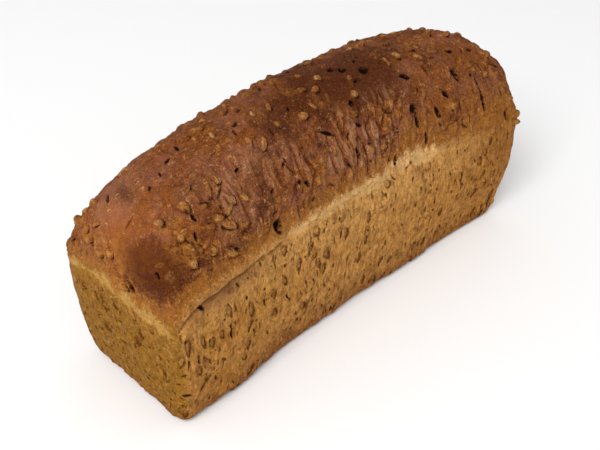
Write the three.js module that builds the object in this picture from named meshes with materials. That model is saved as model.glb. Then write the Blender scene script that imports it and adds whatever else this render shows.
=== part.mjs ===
// A large wholegrain loaf, baked in an open tin: one solid, with its crust, seam and crown in one piece.
// Millimetres, +Z up. X runs along the loaf, Y across it, and the origin is the centre of its underside.
import * as THREE from "three";
import { mergeVertices } from "three/addons/utils/BufferGeometryUtils.js";

// The block of the loaf that the tin shaped, up to the tin's rim.
const loafLength = 280;
const loafWidth = 91;
const rimHeight = 74;
const wallTaper = { ends: 5.5, sides: 4 }; // how far a wall stands in at the foot
const taperCurve = 2.2; // above 1, the taper is mostly near the foot
const footSkew = 3; // how far the foot of each end stands askew to the long walls
const cornerRadius = 6; // of the four upright corners
const footRadius = 5; // where the walls turn under the loaf

// The crown that rose out of the tin, as heights above the rim.
const crownRise = 48.5;
const crownBow = 9; // extra height halfway along
const crownLean = 3; // less height at +X, and more at -X
const endFullness = { flat: 3.9, round: 4.2 }; // seen from the side: how long it stays level, how it drops
const sideFullness = { flat: 2.4, round: 1.86 }; // seen from the end

// How the loaf gave way as it baked and cooled.
const sidePinch = 7.4; // the long walls draw in halfway along
const wallBulge = 3; // and belly out halfway up
const endBulge = 0.7; // the short walls belly out only a little
const rimBow = 3.5; // the rim line climbs halfway along
const rimClimb = 3.5; // and climbs from the -X end to the +X end
const cornerDip = 8; // and drops where the dough didn't fill the tin's corners
const seamRoll = { out: 0.8, halfHeight: 5 }; // the torn seam rolls out over the wall
const lumps = [
  { size: 0.7, along: 48, across: 64, turn: 0.4 }, // long, low swells of the crown
  { size: 0.5, along: 28, across: 40, turn: 2.1 },
];

// How finely the surface is divided.
const stepsAlong = 40;
const stepsAcross = 18;
const stepsUp = 10;

const halfLength = loafLength / 2;
const halfWidth = loafWidth / 2;
const clamp = THREE.MathUtils.clamp;

// Steps that crowd towards both ends of -1 to 1, where the crown and the corners turn fastest.
const crowded = (share) => Math.sin((share * Math.PI) / 2);

// A point on the edge of a rectangle of these half sizes, once its corners are rounded.
function onOutline(along, across, length, width) {
  const x = along * length;
  const y = across * width;
  const coreX = clamp(x, cornerRadius - length, length - cornerRadius);
  const coreY = clamp(y, cornerRadius - width, width - cornerRadius);
  const reach = Math.hypot(x - coreX, y - coreY) || 1;
  return [
    coreX + (cornerRadius * (x - coreX)) / reach,
    coreY + (cornerRadius * (y - coreY)) / reach,
  ];
}

// A point inside that outline, on the straight line from its middle.
function insideOutline(along, across, length, width) {
  const ring = Math.max(Math.abs(along), Math.abs(across));
  if (ring === 0) return [0, 0];
  const [x, y] = onOutline(along / ring, across / ring, length, width);
  return [x * ring, y * ring];
}

// How far a wall of this taper stands in from the rim's outline at a height.
function wallInset(z, taper) {
  const turning = footRadius - clamp(z, 0, footRadius);
  const footInset = footRadius - Math.sqrt(footRadius ** 2 - turning ** 2);
  return footInset + taper * (1 - z / rimHeight) ** taperCurve;
}

// The crown's height above the rim.
function crownHeight(along, across) {
  const level = (share, { flat, round }) => (1 - Math.abs(share) ** flat) ** (1 / round);
  const ridge = crownRise + crownBow * (1 - along ** 2) - crownLean * along;
  return ridge * level(along, endFullness) * level(across, sideFullness);
}

// The loaf as the tin and an even oven would leave it.
function asProved(along, across, up) {
  if (up === 1) {
    const [x, y] = insideOutline(along, across, halfLength, halfWidth);
    return [x, y, rimHeight + crownHeight(along, across)];
  }
  const z = rimHeight * up ** 1.5;
  const length = halfLength - wallInset(z, wallTaper.ends);
  const width = halfWidth - wallInset(z, wallTaper.sides);
  const place = up === 0 ? insideOutline : onOutline;
  return [...place(along, across, length, width), z];
}

// One of the crown's swells at a place on the loaf.
function swellHeight(x, y, { size, along, across, turn }) {
  const wave = 2 * Math.PI;
  return size * Math.sin((wave * x) / along + turn) * Math.cos((wave * y) / across);
}

// The same point after the bake: pinched, bellied, seamed and a little uneven.
function asBaked([x, y, z]) {
  const along = x / halfLength;
  const across = y / halfWidth;
  const up = clamp(z / rimHeight, 0, 1);
  const middle = Math.max(0, 1 - along ** 2);
  const belly = 4 * up * (1 - up);
  const roll = seamRoll.out * Math.exp(-(((z - rimHeight) / seamRoll.halfHeight) ** 2));
  const outY = wallBulge * belly + roll - sidePinch * middle;
  const outX = endBulge * (1 - across ** 2) + roll;
  const dip = cornerDip * Math.abs(along) ** 10 * Math.abs(across) ** 6;
  const crownShare = clamp((z - rimHeight) / crownRise, 0, 1);
  const lump = lumps.reduce((sum, swell) => sum + swellHeight(x, y, swell), 0);
  const climb = rimBow * middle + (rimClimb * (1 + along)) / 2 - dip;
  return [
    x + Math.sign(along) * outX * Math.abs(along) ** 6 + footSkew * across * (1 - up),
    y + Math.sign(across) * outY * across ** 2,
    z + climb * up + lump * crownShare,
  ];
}

function loafGeometry() {
  const box = new THREE.BoxGeometry(2, 2, 1, stepsAlong, stepsAcross, stepsUp);
  box.deleteAttribute("normal");
  box.deleteAttribute("uv");
  const geometry = mergeVertices(box);
  const points = geometry.getAttribute("position");
  for (let i = 0; i < points.count; i += 1) {
    const up = points.getZ(i) + 0.5;
    const proved = asProved(crowded(points.getX(i)), crowded(points.getY(i)), up);
    points.setXYZ(i, ...asBaked(proved));
  }
  geometry.computeBoundingBox();
  const middle = geometry.boundingBox.getCenter(new THREE.Vector3());
  geometry.translate(-middle.x, -middle.y, 0);
  geometry.computeVertexNormals();
  return geometry;
}

const crust = new THREE.MeshStandardMaterial({ color: 0x9a6233, roughness: 0.7, metalness: 0 });
const loaf = new THREE.Mesh(loafGeometry(), crust);
loaf.name = "loaf";

const tinLoaf = new THREE.Group();
tinLoaf.add(loaf);

export default tinLoaf;
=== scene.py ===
import math
import random

import bmesh
import bpy
import numpy as np
from mathutils import Matrix, Vector, kdtree, noise


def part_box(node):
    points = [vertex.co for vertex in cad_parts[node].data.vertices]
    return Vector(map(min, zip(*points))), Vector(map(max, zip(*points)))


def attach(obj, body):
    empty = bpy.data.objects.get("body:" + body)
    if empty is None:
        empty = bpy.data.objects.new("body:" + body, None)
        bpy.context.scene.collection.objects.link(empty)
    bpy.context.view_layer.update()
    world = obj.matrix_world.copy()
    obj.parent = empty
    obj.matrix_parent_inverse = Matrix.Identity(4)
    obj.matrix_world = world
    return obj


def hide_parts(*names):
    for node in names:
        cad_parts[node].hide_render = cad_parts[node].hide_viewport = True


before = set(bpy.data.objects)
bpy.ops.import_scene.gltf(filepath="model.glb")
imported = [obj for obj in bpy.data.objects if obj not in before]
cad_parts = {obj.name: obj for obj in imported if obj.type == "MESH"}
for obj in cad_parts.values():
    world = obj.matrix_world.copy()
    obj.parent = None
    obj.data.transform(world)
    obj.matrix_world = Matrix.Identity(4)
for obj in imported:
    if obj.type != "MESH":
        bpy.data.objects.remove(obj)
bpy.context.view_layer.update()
mm = 0.001
print("frame loaded")


camera = {
    "lens": 63,  # mm on a 36 mm sensor
    "azimuth": -46.3,  # degrees, with 0 looking along +Y
    "elevation": 35.8,
    "roll": -0.4,
    "distance": 611,  # mm from what it looks at
    "aim": (-9.3, 0.5, 41.2),  # mm
}


def setCamera():
    turn = math.radians(camera["azimuth"])
    tilt = math.radians(camera["elevation"])
    back = Vector((
        math.sin(turn) * math.cos(tilt),
        -math.cos(turn) * math.cos(tilt),
        math.sin(tilt),
    ))
    seat = Vector(camera["aim"]) * mm + back * camera["distance"] * mm
    bpy.ops.object.camera_add(location=seat)
    eye = bpy.context.object
    eye.name = "tableCamera"
    eye.data.lens = camera["lens"]
    eye.rotation_mode = "QUATERNION"
    facing = (-back).to_track_quat("-Z", "Y").to_matrix()
    roll = Matrix.Rotation(math.radians(-camera["roll"]), 3, "Z")
    eye.rotation_quaternion = (facing @ roll).to_quaternion()
    bpy.context.scene.camera = eye


setCamera()
print("camera set")


def clearSelection():
    for thing in bpy.context.selected_objects:
        thing.select_set(False)


def choose(kind, wanted):
    # selects the faces or edges of the piece being edited that pass a test
    bpy.ops.mesh.select_mode(type=kind)
    bpy.ops.mesh.select_all(action="DESELECT")
    mesh = bpy.context.object.data
    shape = bmesh.from_edit_mesh(mesh)
    parts = shape.faces if kind == "FACE" else shape.edges
    for part in parts:
        if wanted(part):
            part.select_set(True)
    bmesh.update_edit_mesh(mesh)


def useModifier(piece, kind, **settings):
    modifier = piece.modifiers.new(kind.title(), kind)
    for name, value in settings.items():
        setattr(modifier, name, value)
    bpy.ops.object.modifier_apply(modifier=modifier.name)


def smoothStep(low, high, value):
    share = np.clip((value - low) / (high - low), 0, 1)
    return share * share * (3 - 2 * share)


def grainNoise(places, size, seed=0):
    # soft noise from -1 to 1 at many places at once; size is one lump, in mm, or one for each axis
    scaled = places / np.asarray(size, float) + 17.3 * seed
    return np.array([noise.noise(place) for place in scaled.tolist()])


# the dough: a block from the tin, with the crown drawn up out of it
dough = {
    "rim": 74,  # mm, where the crown is drawn up from
    # how high the seam runs, along a long side and along an end: mm from the middle, mm up
    "rimSide": [
        (-141, 71), (-133, 75), (-124, 78), (-70, 80),
        (0, 80.5), (48, 78.5), (102, 73), (141, 69),
    ],
    "rimEnd": [(-46, 67), (-20, 67), (0, 70), (25, 69), (39, 66), (46, 65)],
    "cut": 8,  # mm between the block's loops
    # each loop of the crown: mm up, then its share along and across
    "crownSteps": [(15, 0.99, 0.97), (16, 0.98, 0.92), (15, 0.95, 0.82), (10, 0.88, 0.66)],
    "corner": 7,  # mm, the bevel of the upright corners
    "foot": 6,  # mm, the bevel round the underside
    "voxel": 0.62,  # mm
    "triangles": 192000,
}


def buildDough(solid):
    low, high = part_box("loaf")
    size = high - low
    rim = dough["rim"] * mm
    clearSelection()
    bpy.ops.mesh.primitive_cube_add(size=1, location=(0, 0, rim / 2), scale=(size.x, size.y, rim))
    piece = bpy.context.object
    piece.name = "tinLoaf"
    bpy.ops.object.transform_apply(location=True, rotation=True, scale=True)
    bpy.ops.object.mode_set(mode="EDIT")
    for axis, length, start in ((0, size.x, -size.x / 2), (1, size.y, -size.y / 2), (2, rim, 0)):
        cuts = round(length / (dough["cut"] * mm))
        for step in range(1, cuts):
            place, facing = Vector(), Vector()
            place[axis] = start + length * step / cuts
            facing[axis] = 1
            bpy.ops.mesh.select_all(action="SELECT")
            bpy.ops.mesh.bisect(plane_co=place, plane_no=facing)
    choose("FACE", lambda face: face.normal.z > 0.9)
    height = rim
    for rise, along, across in dough["crownSteps"]:
        height += rise * mm
        bpy.ops.mesh.extrude_region_move(TRANSFORM_OT_translate={"value": (0, 0, rise * mm)})
        bpy.ops.transform.resize(value=(along, across, 1), center_override=(0, 0, height))
    hair = 0.01 * mm
    outerX, outerY = size.x / 2 - hair, size.y / 2 - hair

    def upright(line):
        return all(abs(end.co.x) > outerX and abs(end.co.y) > outerY for end in line.verts)

    def roundFoot(line):
        return line.calc_face_angle(0) > 1 and all(end.co.z < hair for end in line.verts)

    choose("EDGE", upright)
    bpy.ops.mesh.bevel(offset=dough["corner"] * mm, segments=3, affect="EDGES")
    choose("EDGE", roundFoot)
    bpy.ops.mesh.bevel(offset=dough["foot"] * mm, segments=3, affect="EDGES")
    bpy.ops.mesh.select_all(action="SELECT")
    bpy.ops.mesh.normals_make_consistent(inside=False)
    bpy.ops.object.mode_set(mode="OBJECT")
    useModifier(piece, "SHRINKWRAP", target=solid, wrap_method="NEAREST_SURFACEPOINT")
    useModifier(piece, "SUBSURF", levels=2, render_levels=2)
    useModifier(piece, "REMESH", mode="VOXEL", voxel_size=dough["voxel"] * mm, use_smooth_shade=True)
    useModifier(piece, "SMOOTH", factor=0.5, iterations=12)
    return piece


tinLoaf = buildDough(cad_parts["loaf"])
print("dough shaped,", len(tinLoaf.data.vertices), "points")


def readMesh(piece):
    mesh = piece.data
    count = len(mesh.vertices)
    places = np.empty(count * 3, np.float32)
    facings = np.empty(count * 3, np.float32)
    mesh.vertices.foreach_get("co", places)
    mesh.vertex_normals.foreach_get("vector", facings)
    return places.reshape(-1, 3).astype(float) / mm, facings.reshape(-1, 3).astype(float)


def knots(places, pairs):
    # a value that runs straight from one (place, value) to the next
    return np.interp(places, [pair[0] for pair in pairs], [pair[1] for pair in pairs])


# where each point of the dough lies on the loaf, in mm
spots, facings = readMesh(tinLoaf)
halfLength = np.abs(spots[:, 0]).max()
halfWidth = np.abs(spots[:, 1]).max()
ridge = spots[:, 0].clip(halfWidth - halfLength, halfLength - halfWidth)
outX, outY = spots[:, 0] - ridge, spots[:, 1]
outness = (np.maximum(np.abs(outX), np.abs(outY)) / halfWidth).clip(0.2, 1)
rimSpots = np.column_stack([ridge + outX / outness, outY / outness, np.zeros(len(spots))])
fromCorner = (halfLength - np.abs(rimSpots[:, 0])) - (halfWidth - np.abs(rimSpots[:, 1]))
onLongSide = smoothStep(-6, 6, fromCorner)
rimLine = onLongSide * knots(rimSpots[:, 0], dough["rimSide"])
rimLine += (1 - onLongSide) * knots(rimSpots[:, 1], dough["rimEnd"])
wave = 1.3 * grainNoise(rimSpots, 26, 31) + 0.6 * grainNoise(rimSpots, 9, 32)
wave += 0.4 * grainNoise(rimSpots, 3.4, 35)
lift = spots[:, 2] - rimLine + wave  # mm above the seam
flow = np.column_stack([rimSpots[:, 0], rimSpots[:, 1], lift])  # runs down the crown to the seam
onCrown = smoothStep(-1, 1, lift)
onEnd = smoothStep(0.35, 0.75, np.abs(facings[:, 0]))
underneath = smoothStep(0.5, 0.9, -facings[:, 2])
height = np.zeros(len(spots))  # mm that the crust stands out from the dough, filled in below
tree = kdtree.KDTree(len(spots))
for index, spot in enumerate(spots.tolist()):
    tree.insert(spot, index)
tree.balance()


def patch(place, reach, chosen=slice(None)):
    # 1 at a place, falling away softly over its reach, in mm
    offset = (spots[chosen] - np.array(place)) / np.array(reach)
    return np.exp(-(offset**2).sum(axis=1))


def sideOrEnd(alongSide, acrossEnd):
    # knots that run along X on the long sides and along Y on the two ends
    return np.where(onEnd > 0.5, knots(spots[:, 1], acrossEnd), knots(spots[:, 0], alongSide))


# how the crust swells, tears and creases
crust = {
    # on the crown: mm across, mm high
    "swells": [(46, 1.2), (19, 0.8), (9, 0.6), (4.6, 0.45), (2.4, 0.28)],
    "wallSwells": [(38, 0.7), (15, 0.5), (6.5, 0.5), (3.2, 0.4), (1.9, 0.26)],
    "dents": [  # place, reach, mm out
        ((98, -44, 14), (22, 16, 18), -3.0),
        ((43, -42, 4), (24, 14, 9), 1.4),
        ((-58, -42, 8), (18, 14, 12), -1.4),
        ((-96, -44, 6), (22, 12, 12), 2.4),
        ((130, -45, 20), (14, 14, 16), -1.8),
        ((-137, 24, 101), (14, 14, 12), -2.0),
        ((-118, 17, 118), (12, 14, 12), -1.8),
        ((78, -1, 130), (18, 20, 16), -2.6),
        ((119, -14, 117), (13, 16, 14), 3.6),
        ((133, -27, 103), (10, 14, 14), 3.0),
    ],
    "furrowGap": 3.6,  # mm between the furrows
    "furrowRun": 19,  # mm that one furrow keeps its line
    "furrowDepth": 1.15,
    "furrowZone": (2, 8, 32, 60),  # mm above the seam: starts, full, full, ends
    # how deep the furrows are along X
    "furrowShare": [(-141, 0.0), (-118, 0.2), (-92, 0.9), (5, 1), (30, 0.78), (110, 0.5), (141, 0.3)],
    "calm": ((-135, -4, 102), (18, 32, 24)),  # place and reach of the smooth skin on the -X end
    "creaseDepth": 0.4,
    # the seam's pale band, in mm above its line: where it ends and starts on the long sides,
    # where it ends on the two ends of the loaf and how far it hangs down there
    "seamTall": [
        (-141, -3), (-75, -1.5), (-50, 1), (0, 3), (25, 6),
        (44, 5), (60, 1), (78, -5), (122, -4), (141, -6),
    ],
    "seamFoot": [(-141, 1), (-80, 1), (-50, -2.5), (60, -3.5), (95, 0), (141, 1)],
    "seamTallEnd": [(-46, -6), (-36, 0), (-16, 3), (0, 3), (20, 1.5), (46, 1)],
    "seamHangEnd": [(-46, 3), (-36, 6.5), (-16, 6), (4, 3.5), (30, 2), (46, 2)],
    # mm that the crown's lip stands out over the seam
    "lipOut": [(-141, 0.9), (-128, 2.6), (-78, 2.4), (-52, 0.5), (60, 0.6), (95, 0.1), (141, 0.1)],
    "lipOutEnd": [(-46, 0), (-22, 0), (-12, 0.7), (46, 0.5)],
    "grooveShare": 0.8,  # how far the wall sinks under the lip, for each mm that the lip stands out
    "tearRough": 0.85,
    "footWave": 1.1,
    "footReach": 9,  # mm up from the underside
}

calm = patch(*crust["calm"])
for size, tall in crust["swells"]:
    height += tall * onCrown * (1 - 0.6 * calm) * grainNoise(spots, size, 1)
for size, tall in crust["wallSwells"]:
    height += tall * (1 - onCrown) * grainNoise(spots, (size, size, 2.2 * size), 2)
for place, reach, out in crust["dents"]:
    height += out * patch(place, reach)

start, full, fade, end = crust["furrowZone"]
furrowZone = smoothStep(start, full, lift) * (1 - smoothStep(fade, end, lift))
furrowZone *= (1 - 0.9 * onEnd) * knots(spots[:, 0], crust["furrowShare"])
furrowZone *= 0.4 + 0.6 * smoothStep(-0.35, 0.3, grainNoise(flow, (38, 38, 60), 3))
gap, run = crust["furrowGap"], crust["furrowRun"]
bend = 5 * grainNoise(flow, (18, 18, 15), 4) + 0.9 * grainNoise(flow, (7, 7, 8), 33)
bentFlow = flow + np.column_stack([bend, bend, np.zeros(len(bend))])
wide = grainNoise(bentFlow, (2 * gap, 2 * gap, 1.5 * run), 5)
narrow = grainNoise(bentFlow, (gap, gap, run), 27)
fine = grainNoise(bentFlow, (0.5 * gap, 0.5 * gap, 0.5 * run), 6)
valley = np.maximum(1 - 3.6 * np.abs(wide), 0.7 * (1 - 4 * np.abs(narrow))).clip(0, 1) ** 1.5
furrow = (0.45 + 0.35 * fine - 1.3 * valley).clip(-1, 1)
height += crust["furrowDepth"] * furrowZone * (furrow - 0.2)

creaseWarp = spots + 4 * np.column_stack([grainNoise(spots, 9, seed) for seed in (21, 22, 23)])
crease = 1 - smoothStep(0.0, 0.09, np.abs(grainNoise(creaseWarp, 11, 24)))
crease *= smoothStep(0.0, 0.3, grainNoise(spots, 13, 25)) * smoothStep(4, 14, lift)
height -= crust["creaseDepth"] * crease

bandTop = sideOrEnd(crust["seamTall"], crust["seamTallEnd"])
bandTop += 4.5 * grainNoise(flow, (11, 11, 40), 7) + 2.2 * grainNoise(flow, (3, 3, 9), 8)
bandFoot = knots(spots[:, 0], crust["seamFoot"]) + 1.6 * grainNoise(flow, (5, 5, 20), 34)
bandFoot -= onEnd * knots(spots[:, 1], crust["seamHangEnd"])
band = smoothStep(bandFoot - 3.5, bandFoot + 1.5, lift)
band *= 1 - smoothStep(bandTop - 2, bandTop + 7, lift)
tear = grainNoise(spots, 1.7, 9) + 0.7 * grainNoise(spots, 3.6, 10) - 0.4
height += crust["tearRough"] * band * tear
lipOut = sideOrEnd(crust["lipOut"], crust["lipOutEnd"])
lipOut *= 0.75 + 0.7 * grainNoise(flow, (13, 13, 90), 11)
height += lipOut * smoothStep(-0.7, 0.4, lift) * (1 - smoothStep(1.2, 7, lift))
height -= crust["grooveShare"] * lipOut * np.exp(-(((lift + 1.6) / 1.1) ** 2))
footShare = 1 - smoothStep(0, crust["footReach"], spots[:, 2])
footWave = grainNoise(flow, (9, 9, 30), 12) + 0.5 * grainNoise(flow, (3.6, 3.6, 30), 26)
height += crust["footWave"] * footWave * footShare
print("crust worked")


# what is set in the crust: kernels, holes and slits, in one list of marks
kernelLong, kernelWide = (2.2, 3.2), (1.2, 1.8)  # mm, half of a kernel's length and width
grain = {
    # kind, the skin it is set in, how many, half length, half width, height,
    # spread of the turn in degrees and the room round it
    "scattered": [
        ("bare", "crownClusters", 115, kernelLong, kernelWide, (0.8, 1.5), 60, 0.6),
        ("covered", "crown", 160, kernelLong, kernelWide, (0.8, 1.5), 60, 0.6),
        ("hole", "crownOpen", 44, (1.1, 2.4), (0.6, 1.1), (1.2, 2.4), 40, 0.3),
        ("slit", "crown", 60, (1.4, 3.6), (0.4, 0.8), (0.7, 1.3), 28, 0.2),
        ("cavity", "wall", 105, kernelLong, kernelWide, (0.7, 1.3), 16, 0.6),
        ("bare", "wallClusters", 46, kernelLong, kernelWide, (0.3, 0.7), 20, 0.6),
        ("slit", "longWall", 700, (0.7, 2.2), (0.3, 0.7), (0.4, 1.2), 12, -0.8),
        ("slit", "endWall", 330, (0.5, 1.5), (0.35, 0.75), (0.4, 1.1), 70, -0.6),
    ],
    # where the crown is smooth: place, reach, share of the kernels left out
    "smooth": [
        ((-134, 8, 104), (16, 24, 22), 0.85),
        ((-140, -22, 90), (14, 20, 14), 1),
    ],
    "noHoles": ((-128, 6, 108), (24, 36, 24)),  # place and reach
    "shadowWay": (0.8, -0.35, -0.5),  # gaps open mostly to this side of a kernel, away from the light, where their painted shadow falls
    "haloReach": 6.5,  # mm
    "paleLeast": 0.55,  # for the kernels placed one by one
    "seed": 11,
}

dice = random.Random(grain["seed"])
marks = []


def addMark(kind, index, long, wide, tall, turn, roomy=0.0):
    # turn is degrees from the way the crust runs down to the seam, or down the wall;
    # roomy is mm to the next mark, with 0 for a mark that is set wherever it falls
    place, facing = Vector(spots[index]), Vector(facings[index])
    clear = roomy + 0.5 * long
    if roomy and any((place - other["at"]).length < clear + other["long"] for other in marks):
        return False
    down = Vector((0, 0, -1))
    if lift[index] > 0:
        down += 0.6 * Vector((flow[index, 0] - place.x, flow[index, 1] - place.y, 0)).normalized()
    down = (down - facing * down.dot(facing)).normalized()
    side = facing.cross(down)
    turn = math.radians(turn)
    along = down * math.cos(turn) + side * math.sin(turn)
    across = side * math.cos(turn) - down * math.sin(turn)
    shadowWay = Vector(grain["shadowWay"])
    marks.append({
        "kind": kind,
        "at": place,
        "along": along,
        "across": across,
        "long": long,
        "wide": wide,
        "tall": tall,
        "gapSide": math.atan2(shadowWay.dot(across), shadowWay.dot(along)) + dice.gauss(0, 0.7),
        "pale": dice.random() ** 2,
        "halo": dice.random(),
    })
    return True


triesEach = 40  # how often a scattered mark looks for room


def scatter(kind, count, allowed, long, wide, tall, spread, roomy):
    # allowed is each point's chance from 0 to 1; the sizes are (least, most) in mm
    candidates = np.flatnonzero(allowed > 0.02)
    left = count
    for attempt in range(count * triesEach):
        index = int(candidates[dice.randrange(len(candidates))])
        if dice.random() > allowed[index]:
            continue
        turn = dice.gauss(0, spread)
        size = [dice.uniform(*ends) for ends in (long, wide, tall)]
        made = addMark(kind, index, *size, turn, roomy)
        left -= made
        if not left:
            return


# what stands out most, placed one by one: kind, place, half length, half width, height, turn
notable = [
    ("hole", (-66, -39, 89), 4.4, 2.0, 4.0, 5),
    ("hole", (9, -4, 137), 2.8, 1.8, 3.4, 70),
    ("hole", (14, -8, 136), 3.0, 1.9, 3.4, 80),
    ("hole", (26, -13, 134), 3.6, 2.6, 4.0, 75),
    ("hole", (48, -24, 125), 3.4, 1.6, 3.0, 60),
    ("hole", (87, -31, 114), 4.6, 1.9, 3.4, 25),
    ("hole", (-129, 17, 111), 2.6, 1.3, 2.6, 80),
    ("hole", (65, -37, 101), 4.0, 1.3, 2.8, 20),
    ("hole", (74, -34, 108), 3.0, 1.3, 2.8, 30),
    ("hole", (54, -39, 89), 3.4, 1.0, 2.6, 5),
    ("hole", (46, -34, 110), 2.8, 1.8, 2.8, 20),
    ("slit", (104, -35, 104), 4.2, 0.7, 1.6, 0),
    ("hole", (111, -21, 117), 2.0, 1.1, 2.4, 30),
    ("hole", (94, -20, 123), 2.8, 1.1, 2.4, 70),
    ("hole", (4, -25, 127), 2.4, 1.5, 2.8, 50),
    ("bare", (8, -22, 129), 3.2, 1.9, 2.0, 60),
    ("bare", (8, -36, 101), 2.8, 1.4, 1.6, 5),
    ("bare", (53, -13, 132), 3.0, 2.0, 1.8, 60),
    ("bare", (66, -18, 129), 2.8, 1.8, 1.6, 40),
    ("bare", (114, -44, 71), 2.6, 1.8, 1.0, 60),
    ("hole", (106, -40, 93), 5.4, 1.2, 2.8, 5),
    ("hole", (48, -36, 101), 3.4, 1.2, 2.4, 10),
    ("hole", (-3, -35, 103), 3.4, 1.7, 2.6, 10),
    ("hole", (-124, -44, 74), 2.4, 1.0, 2.0, 30),
    ("hole", (-141, -14, 80), 3.6, 1.3, 3.0, 35),
    ("bare", (-141, -8, 78), 3.4, 2.2, 1.6, 60),
    ("slit", (-20, -29, 120), 5.5, 0.8, 1.8, 55),
    ("hole", (3, -31, 116), 1.8, 1.2, 2.4, 40),
    ("hole", (-41, -36, 102), 1.8, 1.1, 2.4, 20),
    ("hole", (27, -39, 86), 2.8, 1.2, 2.6, 0),
    ("bare", (-29, -20, 130), 3.2, 2.0, 2.0, 60),
    ("bare", (-34, -36, 101), 3.0, 1.5, 1.6, 0),
    ("bare", (-100, -33, 109), 3.2, 1.8, 1.9, 70),
    ("bare", (-82, -32, 112), 3.0, 1.9, 1.8, 30),
    ("bare", (-66, -18, 130), 3.0, 1.7, 1.6, 10),
    ("bare", (-59, -22, 128), 3.2, 2.0, 1.6, -20),
    ("covered", (-57, -29, 121), 3.4, 2.6, 1.8, 0),
    ("slit", (126, -45, 77), 4.5, 0.9, 1.6, 0),
    ("covered", (-141, -19, 69), 4.6, 3.0, 2.4, 70),
    ("covered", (-141, -4, 73), 4.2, 2.6, 2.0, 85),
    ("covered", (-140, -32, 68), 3.6, 2.4, 1.9, 60),
    ("bare", (-140, 20, 90), 3.0, 1.8, 2.0, 75),
    ("bare", (-141, 11, 87), 3.2, 2.0, 1.9, 20),
    ("bare", (-140, 2, 91), 2.8, 1.7, 1.8, 10),
    ("covered", (-134, -36, 94), 3.6, 2.2, 2.2, 10),
    ("hole", (-137, -30, 93), 2.2, 0.9, 1.8, 15),
    ("covered", (-132, -41, 86), 3.2, 2.0, 1.8, 60),
    ("bare", (-99, -40, 91), 3.4, 2.0, 2.2, 65),
    ("hole", (-95, -40, 91), 1.8, 0.8, 1.8, 10),
    ("hole", (-112, -29, 113), 1.8, 0.9, 2.0, 20),
    ("hole", (-92, -37, 102), 1.9, 0.9, 2.0, 10),
    ("bare", (-109, -38, 97), 2.8, 1.7, 1.7, 20),
    ("bare", (-113, -23, 117), 3.3, 1.9, 1.9, 65),
    ("bare", (-95, -36, 104), 3.5, 2.0, 2.0, 50),
    ("bare", (26, -39, 79), 3.4, 1.9, 1.4, 15),
    ("bare", (39, -40, 76), 3.4, 1.9, 1.4, -25),
    ("bare", (-126, -20, 113), 2.8, 1.7, 1.8, 80),
    ("bare", (-122, -30, 107), 2.6, 1.6, 1.7, 10),
    ("bare", (-120, -34, 103), 2.8, 1.7, 1.8, 60),
    ("bare", (-121, -38, 96), 3.0, 1.8, 1.8, 20),
    ("bare", (-137, 34, 94), 2.4, 1.6, 2.4, 70),
    ("bare", (-131, 27, 105), 2.4, 1.6, 2.2, 20),
    ("bare", (66, 7, 132), 2.6, 1.6, 2.0, 80),
    ("bare", (99, 0, 126), 3.0, 2.0, 2.2, 30),
    ("bare", (109, -6, 123), 2.6, 1.6, 1.9, 60),
    ("bare", (133, -41, 85), 2.6, 1.7, 1.2, 40),
    ("bare", (135, -46, 75), 3.0, 2.0, 2.6, 80),
    ("bare", (135, -47, 70), 2.8, 1.8, 2.4, 10),
    ("cavity", (-135, -46, 57), 3.4, 1.6, 1.4, 0),
    ("cavity", (-124, -46, 53), 3.3, 1.3, 1.4, 8),
    ("cavity", (-119, -45, 49), 3.1, 1.2, 1.2, -6),
    ("cavity", (-125, -45, 26), 3.4, 1.8, 1.5, -30),
    ("cavity", (-90, -43, 52), 3.2, 1.7, 1.4, 0),
    ("cavity", (-106, -44, 61), 3.2, 1.6, 1.3, 20),
    ("cavity", (-31, -41, 54), 3.6, 1.6, 1.3, 25),
    ("cavity", (-15, -40, 60), 3.0, 1.5, 1.3, -5),
    ("hole", (-81, -43, 51), 2.4, 0.7, 1.8, 5),
    ("hole", (-63, -42, 44), 2.2, 0.7, 1.8, 25),
    ("hole", (-106, -44, 46), 2.4, 0.9, 1.8, 5),
    ("hole", (-137, -45, 25), 2.2, 1.1, 1.8, 70),
]
for kind, place, long, wide, tall, turn in notable:
    addMark(kind, tree.find(place)[1], long, wide, tall, turn)
    marks[-1]["pale"] = max(marks[-1]["pale"], grain["paleLeast"])

crownSkin = smoothStep(6, 12, lift)
for place, reach, share in grain["smooth"]:
    crownSkin *= 1 - share * patch(place, reach)
wallSkin = smoothStep(-3, -6, lift) * (1 - underneath)
wallPatches = smoothStep(-0.4, 0.5, grainNoise(spots, (18, 18, 30), 14))
skins = {
    "crown": crownSkin,
    "crownClusters": crownSkin * smoothStep(-0.35, 0.45, grainNoise(spots, 24, 13)),
    "crownOpen": crownSkin * (1 - patch(*grain["noHoles"])),
    "wall": wallSkin * (0.25 + 0.75 * wallPatches),
    "wallClusters": wallSkin * wallPatches,
    "longWall": wallSkin * (1 - 0.9 * onEnd) * (0.35 + 0.65 * wallPatches),
    "endWall": wallSkin * onEnd,
}
for kind, skin, count, *shape in grain["scattered"]:
    scatter(kind, count, skins[skin], *shape)
print(len(marks), "marks in the crust")


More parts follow.
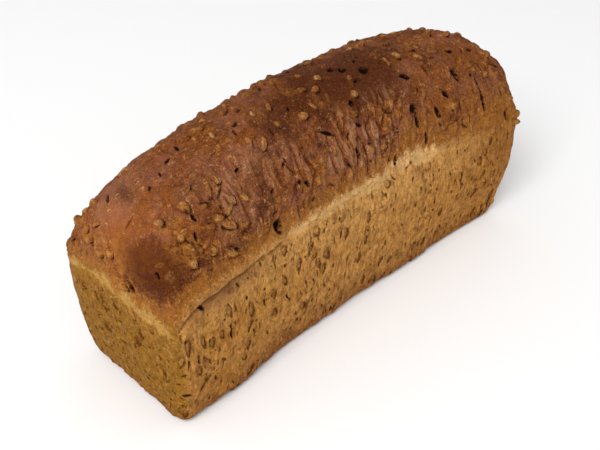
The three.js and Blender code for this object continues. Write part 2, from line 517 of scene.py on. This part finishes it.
def shapeMark(mark):
    # how a mark lifts or sinks the points round it, where each lies in it and how near its gap
    reach = 2.2 * mark["long"]
    index = np.array([found[1] for found in tree.find_range(mark["at"], reach)], int)
    offset = spots[index] - np.array(mark["at"])
    u = offset @ np.array(mark["along"]) / mark["long"]
    v = offset @ np.array(mark["across"]) / (mark["wide"] * (1 - 0.12 * u))
    around = np.arctan2(v, u)
    # an outline a little off the oval
    lobes = 1 + 0.12 * np.cos(2 * around + 3 * mark["gapSide"])
    lobes += 0.06 * np.cos(3 * around + 6 * mark["halo"])
    u, v = u * lobes, v * lobes
    r = np.hypot(u, v)
    tall = mark["tall"]
    gap = 0.5 + 0.5 * np.cos(around - mark["gapSide"])
    dome = np.sqrt(np.clip(1 - r**2, 0, 1))
    if mark["kind"] == "bare":
        moat = np.exp(-(((r - 1.3) / 0.28) ** 2)) * gap**1.5
        rise = tall * dome - 0.9 * tall * moat + 0.35 * tall * np.exp(-((r / 1.9) ** 2))
    elif mark["kind"] == "covered":
        moat = np.exp(-(((r - 1.2) / 0.2) ** 2)) * smoothStep(0.45, 0.95, gap)
        rise = tall * np.exp(-(r**2.2)) - 0.4 * moat
    elif mark["kind"] == "cavity":
        bowl = 1 - smoothStep(0.8, 1.35, r)
        rise = -1.7 * bowl + tall * np.sqrt(np.clip(1 - (r / 0.85) ** 2, 0, 1))
    else:
        rise = -tall * (1 - smoothStep(0.35, 1.1, r)) + 0.2 * np.exp(-(((r - 1.35) / 0.3) ** 2))
    return index, rise, u, v, gap


farOff = 6.0  # the place, in half kernels or half holes, of a point that no mark reaches
markEdge = 3  # and the last such place that a mark keeps
kernelPlace = np.full((len(spots), 3), (farOff, farOff, 0.0))  # along, across, how bare the kernel is
kernelLook = np.zeros((len(spots), 3))  # how far its gap opens, how pale it is, its golden halo
holePlace = np.full((len(spots), 3), (farOff, farOff, 0.0))  # along, across, how deep
kernelReach = np.full(len(spots), farOff)
holeReach = np.full(len(spots), farOff)
bareness = {"bare": 0.9, "cavity": 0.7, "covered": 0.3}
for mark in marks:
    index, rise, u, v, gap = shapeMark(mark)
    height[index] += rise
    r = np.hypot(u, v)
    isKernel = mark["kind"] in bareness
    reach, placed = (kernelReach, kernelPlace) if isKernel else (holeReach, holePlace)
    nearer = r < np.minimum(reach[index], markEdge)
    own = index[nearer]
    reach[own] = r[nearer]
    strength = bareness[mark["kind"]] if isKernel else min(mark["tall"] / 1.8, 1)
    placed[own] = np.column_stack([u[nearer], v[nearer], np.full(len(own), strength)])
    if isKernel:
        kernelLook[own, 0] = 0.5 + 0.5 * gap[nearer] if mark["kind"] == "cavity" else gap[nearer]
        kernelLook[own, 1] = mark["pale"]
        halo = mark["halo"] * patch(mark["at"], grain["haloReach"], index)
        kernelLook[index, 2] = np.maximum(kernelLook[index, 2], halo)

# the underside stays flat enough to rest on
height *= 1 - underneath * 0.9
height = np.where(underneath > 0.5, height.clip(-2, 0), height)

# where the oven browned the loaf more or left it golden, where a mauve painted sheen lies on the crown
# and where painted shade lies under its lip: place, reach, amount
bakes = {
    "dark": [
        ((-137, -28, 93), (15, 18, 13), 0.9),
        ((-134, -8, 98), (18, 30, 16), 0.4),
        ((-2, -8, 134), (58, 26, 15), 0.68),
        ((40, -20, 126), (34, 20, 14), 0.3),
        ((-100, -40, 88), (22, 10, 7), 0.35),
        ((-141, 26, 50), (10, 20, 13), 0.3),
    ],
    "gold": [
        ((-118, -34, 100), (16, 14, 12), 0.3),
        ((122, -25, 100), (24, 26, 26), 0.1),
        ((50, -38, 96), (28, 10, 13), 1.0),
        ((128, -44, 84), (20, 12, 10), 0.6),
        ((126, -46, 60), (26, 12, 26), 0.9),
        ((-137, -4, 92), (14, 38, 16), 0.7),
        ((100, -41, 86), (30, 10, 12), 0.6),
    ],
    "sheenAndShade": [
        ((-122, 14, 113), (24, 24, 18), 0.7),
        ((-72, -22, 122), (42, 20, 18), 0.6),
        ((-5, -37, 98), (55, 12, 12), 0.6),
        ((-108, -45, 75), (26, 10, 6), 1.0),
    ],
}
bake = np.column_stack([
    sum(amount * patch(place, reach) for place, reach, amount in bakes[name]).clip(0, 1)
    for name in ("dark", "gold", "sheenAndShade")
])


def keepOnPoints(piece, name, values):
    # an attribute that the finish reads
    kind = "FLOAT" if values.ndim == 1 else "FLOAT_VECTOR"
    layer = piece.data.attributes.new(name, kind, "POINT")
    field = "value" if kind == "FLOAT" else "vector"
    layer.data.foreach_set(field, values.astype(np.float32).ravel())


def countTriangles(piece):
    return sum(len(face.vertices) - 2 for face in piece.data.polygons)


def pushCrust(piece):
    moved = (spots + facings * height[:, None]) * mm
    moved[:, 2] = moved[:, 2].clip(0, None)
    piece.data.vertices.foreach_set("co", moved.astype(np.float32).ravel())
    for name, values in {
        "seam": np.column_stack([lift, band, kernelReach]),
        "folds": np.column_stack([furrow * furrowZone, furrowZone, onEnd]),
        "skin": np.column_stack([crease, calm, underneath]),
        "flow": flow,
        "kernel": kernelPlace,
        "kernelLook": kernelLook,
        "hole": holePlace,
        "holeReach": holeReach,
        "bake": bake,
    }.items():
        keepOnPoints(piece, name, values)
    piece.data.update()
    useModifier(piece, "DECIMATE", ratio=min(1, dough["triangles"] / countTriangles(piece)))
    bpy.ops.object.shade_smooth()


clearSelection()
tinLoaf.select_set(True)
bpy.context.view_layer.objects.active = tinLoaf
pushCrust(tinLoaf)
print("crust pushed out,", countTriangles(tinLoaf), "triangles")


class Wire:
    # a socket in a material; sums on it add Math nodes
    def __init__(self, tree, socket=None):
        self.tree = tree
        self.socket = socket

    def node(self, kind, settings=None, inlets=None, outlet=0):
        # inlets are a node's input sockets, by name or number, each with a Wire or a plain value
        added = self.tree.nodes.new("ShaderNode" + kind)
        for name, value in (settings or {}).items():
            setattr(added, name, value)
        for name, value in (inlets or {}).items():
            if isinstance(value, Wire):
                self.tree.links.new(value.socket, added.inputs[name])
            else:
                added.inputs[name].default_value = value
        return Wire(self.tree, added.outputs[outlet] if added.outputs else None)

    def sum(self, operation, first, second=0.0):
        return self.node("Math", {"operation": operation}, {0: first, 1: second})

    def __add__(self, other):
        return self.sum("ADD", self, other)

    def __radd__(self, other):
        return self.sum("ADD", other, self)

    def __sub__(self, other):
        return self.sum("SUBTRACT", self, other)

    def __rsub__(self, other):
        return self.sum("SUBTRACT", other, self)

    def __mul__(self, other):
        return self.sum("MULTIPLY", self, other)

    def __rmul__(self, other):
        return self.sum("MULTIPLY", other, self)

    def __pow__(self, other):
        return self.sum("POWER", self, other)

    def __abs__(self):
        return self.sum("ABSOLUTE", self)

    def step(self, low, high):
        # 0 below low, 1 above high, eased between; low may be the greater
        return self.node("MapRange", {"interpolation_type": "SMOOTHSTEP"}, {0: self, 1: low, 2: high})

    def shade(self, amount):
        # this colour times a grey
        grey = self.node("CombineColor", {}, {0: amount, 1: amount, 2: amount})
        settings = {"data_type": "RGBA", "blend_type": "MULTIPLY"}
        return self.node("Mix", settings, {0: 1.0, 6: self, 7: grey}, 2)

    def parts(self):
        split = self.node("SeparateXYZ", {}, {0: self})
        return [Wire(self.tree, outlet) for outlet in split.socket.node.outputs]


def paint(red, green, blue):
    # a colour as a screen shows it, 0 to 255, turned to light
    levels = [level / 255 for level in (red, green, blue)]
    return tuple(v / 12.92 if v < 0.04045 else ((v + 0.055) / 1.055) ** 2.4 for v in levels) + (1.0,)


finish = {
    "crownRed": paint(141, 77, 31),
    "crownDarkAndShade": paint(86, 38, 15),
    "crownBaked": paint(88, 38, 6),
    "crownGold": paint(168, 105, 40),
    "crownMauveSheen": paint(149, 87, 57),
    "crownSheen": paint(188, 132, 94),
    "crownDust": paint(186, 130, 62),
    "wallTan": paint(194, 132, 56),
    "wallPale": paint(218, 160, 88),
    "wallFoot": paint(140, 78, 18),
    "wallGreen": paint(136, 98, 46),
    "wallLipShade": paint(116, 70, 50),
    "pitShade": paint(92, 44, 14),
    "endOliveAndShade": paint(146, 99, 6),
    "seamCream": paint(224, 177, 115),
    "seamGold": paint(196, 151, 80),
    "kernelBrown": paint(150, 92, 40),
    "kernelGold": paint(188, 128, 64),
    "kernelPale": paint(214, 164, 104),
    "gapShade": paint(48, 20, 8),
    "holeShade": paint(34, 14, 6),
}


def crustFinish():
    material = bpy.data.materials.new("wholegrainCrust")
    material.use_nodes = True
    tree = material.node_tree
    tree.nodes.clear()
    make = Wire(tree)

    def kept(name, vector=False):
        return make.node("Attribute", {"attribute_name": name}, {}, 1 if vector else 2)

    place = make.node("TexCoord", {}, {}, 3)  # object coordinates, metres
    inMm = make.node("VectorMath", {"operation": "SCALE"}, {0: place, 3: 1 / mm})

    def swing(size, detail=2.0, rough=0.6, where=inMm, stretch=(1, 1, 1)):
        # soft noise about 0, mostly between -1 and 1; size is one lump in mm
        lumps = [share / size for share in stretch]
        scaled = make.node("VectorMath", {"operation": "MULTIPLY"}, {0: where, 1: lumps})
        inlets = {"Vector": scaled, "Scale": 1.0, "Detail": detail, "Roughness": rough}
        return (make.node("TexNoise", {}, inlets) - 0.5) * 4

    def layer(below, colour, mask):
        # a colour laid over another where the mask is 1
        return make.node("Mix", {"data_type": "RGBA"}, {0: mask, 6: below, 7: colour}, 2)

    lift, band, kernelReach = kept("seam", True).parts()
    furrow, furrowed, endWall = kept("folds", True).parts()
    crease, calm, under = kept("skin", True).parts()
    flow = kept("flow", True)
    dark, golden, sheenAndShade = kept("bake", True).parts()
    kernelU, kernelV, bare = kept("kernel", True).parts()
    gapOpen, pale, halo = kept("kernelLook", True).parts()
    holeU, holeV, deep = kept("hole", True).parts()
    holeReach = kept("holeReach")

    # noise that the crown and the walls share
    streaks = swing(2.6, 5, 0.75, flow, (1, 1, 0.13))
    speck = swing(3.2, 5, 0.8)
    dust = swing(0.9, 3, 0.75)
    flakes = abs(swing(3.8, 2)).step(0.18, 0.04) * swing(2.8, 2).step(0.15, 0.5)
    flakes = flakes * swing(14, 2).step(-0.6, 0.2)

    # the walls, baked against the tin
    pits = swing(2.0, 4, 0.75, inMm, (1, 1, 0.8))
    fibre = swing(2.3, 5, 0.8, inMm, (1, 1, 0.45)) * (1 - endWall) + swing(3.4, 5, 0.85) * endWall
    midway = abs(flow.parts()[0]).step(110, 30) * (1 - endWall)
    wall = layer(finish["wallTan"], finish["wallPale"], lift.step(-34, -4) * 0.6 + midway * 0.35)
    blotch = swing(7, 3, 0.6, inMm, (1, 1, 0.6))
    wall = layer(wall, finish["wallFoot"], blotch.step(0.0, 0.9) * 0.45)
    wall = layer(wall, finish["wallPale"], blotch.step(0.0, -0.9) * 0.45)
    # the ends' own olive tone, darkened further as painted shade on that side
    wall = layer(wall, finish["endOliveAndShade"], endWall * 0.8)
    wall = layer(wall, finish["wallFoot"], lift.step(-50, -79) * 0.75)
    wall = layer(wall, finish["wallGreen"], swing(4, 4, 0.65, inMm, (1, 1, 0.3)).step(0.25, 0.7) * 0.45)
    wall = layer(wall, finish["wallFoot"], fibre.step(-0.1, -0.5) * 0.5)
    wall = layer(wall, finish["wallPale"], fibre.step(0.1, 0.6) * 0.5)
    # painted shade in the wall's pits, which the bump sinks too
    wall = layer(wall, finish["pitShade"], (pits + endWall * 0.15).step(0.4, 0.7) * 0.75)
    scratches = abs(swing(4.4, 2)).step(0.14, 0.02) * swing(2.6, 2).step(0.0, 0.5)
    wall = layer(wall, finish["wallPale"], scratches * (endWall * 0.2 + 0.3))
    # painted shade on the wall under the crown's lip
    wall = layer(wall, finish["wallLipShade"], sheenAndShade * (speck * 0.5 + 0.6))
    wall = layer(wall, finish["wallFoot"], golden * 0.75 + under * 0.5)

    # the crown, browned by the oven, with painted sheen and painted shade in its furrows and creases
    # painted sheen: mauve over the crown, with a lighter sheen where it is strongest
    crown = layer(finish["crownRed"], finish["crownMauveSheen"], (swing(16) + sheenAndShade * 0.6).step(-0.3, 0.7))
    crown = layer(crown, finish["crownSheen"], (sheenAndShade + swing(12, 3) * 0.5).step(0.2, 1.0) * 0.4)
    crown = layer(crown, finish["crownDarkAndShade"], (swing(24, 3) + dark * 1.4 - 0.4).step(-0.4, 0.5) * 0.8)
    mottle = swing(9, 5, 0.7) * 0.5 + speck * 0.6 - sheenAndShade * 0.3
    toasted = mottle + golden * 0.7 + halo * 0.5 - 0.25
    crown = layer(crown, finish["crownGold"], toasted.step(-0.1, 0.5) * 0.8)
    folded = furrow + streaks * furrowed * 0.3
    # the furrows' ridges get a painted sheen and their valleys painted shade
    crown = layer(crown, finish["crownSheen"], folded.step(0.05, 0.5) * 0.7)
    crown = layer(crown, finish["crownDarkAndShade"], folded.step(-0.1, -0.55) * 0.8)
    # painted shade in the creases
    crown = layer(crown, finish["crownDarkAndShade"], crease * 0.4)
    rimGold = lift.step(25, 3) + streaks * furrowed * 0.6 + speck * 0.4
    crown = layer(crown, finish["crownGold"], rimGold.step(0.3, 0.9) * 0.85)
    crown = layer(crown, wall, (lift.step(10, 0) + speck * 0.4).step(0.2, 1.0) * 0.8)
    crown = layer(crown, finish["crownDust"], dust.step(0.3, 0.65) * 0.4)
    crown = layer(crown, finish["kernelPale"], flakes * (0.7 - dark * 0.7))
    baked = dark + speck * 0.3 + mottle * 0.25
    crown = layer(crown, finish["crownBaked"], baked.step(0.35, 1.0) * 0.85)

    # crown and walls meet at the seam, under its pale band
    edge = swing(2.2, 3)
    whole = layer(wall, crown, (lift + edge).step(-0.6, 0.8))
    torn = (band + swing(4, 5, 0.75, flow, (1, 1, 0.45)) * 0.75).step(0.4, 0.95)
    cream = layer(finish["seamCream"], finish["seamGold"], endWall)
    whole = layer(whole, cream, torn * band.step(0.0, 0.3) * (edge * 0.3 + 0.82))

    # kernels, with the dark gap beside each painted as a shadow
    onTop = lift.step(-1, 3)
    wobble = swing(2.2, 3, 0.7) * (onTop * 0.25 + 0.15)
    bentU = kernelU + wobble
    bentV = kernelV - wobble
    r = (bentU * bentU + bentV * bentV) ** 0.5
    kernelColour = layer(finish["kernelBrown"], finish["kernelGold"], (pale + speck).step(-0.1, 0.6))
    kernelColour = layer(kernelColour, finish["kernelPale"], (pale + dust * 0.6).step(0.6, 1.0))
    groove = abs(bentV).step(0.24, 0.06) * abs(bentU).step(0.9, 0.5)
    # painted shade in the kernel's crease
    kernelColour = layer(kernelColour, finish["pitShade"], groove * 0.4)
    kernelColour = layer(kernelColour, finish["crownRed"], r.step(0.5, 1.0) * 0.5)
    husk = (r + dust * 0.12).step(1.06, 0.78) * kernelReach.step(1.6, 1.2)
    whole = layer(whole, kernelColour, husk * bare * (1.0 - 0.4 * gapOpen))
    # the gap's dark is a painted shadow on the side away from the light
    gap = r.step(0.92, 1.1) * r.step(1.55, 1.2) * gapOpen.step(0.48, 0.92) * bare.step(0.3, 0.8)
    gap = gap * kernelReach.step(1.9, 1.5) * kernelReach.step(0.6, 0.9)
    whole = layer(whole, layer(finish["pitShade"], finish["gapShade"], onTop), gap * 0.95)

    # holes and slits, their dark insides and rims painted shade
    holeBentU = holeU + wobble * 0.8
    holeBentV = holeV + wobble * 1.2
    holeR = (holeBentU * holeBentU + holeBentV * holeBentV) ** 0.5
    deep = deep * holeReach.step(1.7, 1.25)
    whole = layer(whole, finish["pitShade"], holeR.step(1.5, 0.8) * deep.step(0.1, 0.5) * 0.8)
    whole = layer(whole, finish["holeShade"], holeR.step(1.05, 0.8) * deep.step(0.45, 0.9))

    # fine grain, lighter and darker, which is the bump too: partly the crust's own mottled tone, partly
    # painted shade in the bump's low spots and painted light on its tops
    onLongWall = (1 - onTop) * (1 - endWall)
    gritAndShade = (speck * 0.5 + dust * (onTop * 0.14 + 0.3)) * (1 - calm * 0.8) * (1 - band * 0.35)
    gritAndShade += streaks * furrowed * 0.3
    gritAndShade += fibre * onLongWall * (1 - band * 0.6) * 0.36
    whole = whole.shade(gritAndShade * (0.9 + 0.2 * onTop) + 1)

    rough = 0.7 + 0.08 * speck
    bump = make.node("Bump", {}, {
        "Strength": 1.0,
        "Distance": 1.0 * mm,
        "Height": gritAndShade - pits * (1 - onTop) * (1 - band) * 0.3,
    })
    surface = make.node("BsdfPrincipled", {}, {
        "Base Color": whole,
        "Roughness": rough,
        "Normal": bump,
        "Specular IOR Level": 0.09,
    })
    make.node("OutputMaterial", {}, {0: surface})
    return material


tinLoaf.data.materials.clear()
tinLoaf.data.materials.append(crustFinish())
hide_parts("loaf")
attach(tinLoaf, "root")
print("crust finished")


studio = {
    "floor": (0.95, 0.95, 0.95, 1.0),
    "floorSize": 12,  # m
    "floorRough": 0.9,
    "sky": 0.62,
    "key": 42,  # watts
    "keySize": 1200,  # mm
    "keyPlace": (-1520, -660, 1740),
    "keyAim": (0, 0, 60),
}


def setKey():
    spot = Vector(studio["keyPlace"]) * mm
    aim = Vector(studio["keyAim"]) * mm
    bpy.ops.object.light_add(type="AREA", location=spot)
    lamp = bpy.context.object
    lamp.name = "keyLight"
    lamp.data.size = studio["keySize"] * mm
    lamp.data.energy = studio["key"]
    lamp.rotation_mode = "QUATERNION"
    lamp.rotation_quaternion = (aim - spot).to_track_quat("-Z", "Y")


def setStudio():
    bpy.ops.mesh.primitive_plane_add(size=studio["floorSize"])
    floor = bpy.context.object
    floor.name = "floor"
    paper = bpy.data.materials.new("palePaper")
    paper.use_nodes = True
    coat = paper.node_tree.nodes["Principled BSDF"]
    coat.inputs["Base Color"].default_value = studio["floor"]
    coat.inputs["Roughness"].default_value = studio["floorRough"]
    floor.data.materials.append(paper)
    world = bpy.data.worlds.new("studio")
    world.use_nodes = True
    world.node_tree.nodes["Background"].inputs["Color"].default_value = (1, 1, 1, 1)
    world.node_tree.nodes["Background"].inputs["Strength"].default_value = studio["sky"]
    bpy.context.scene.world = world
    setKey()
    bpy.context.scene.view_settings.view_transform = "Standard"


setStudio()
print("studio set")
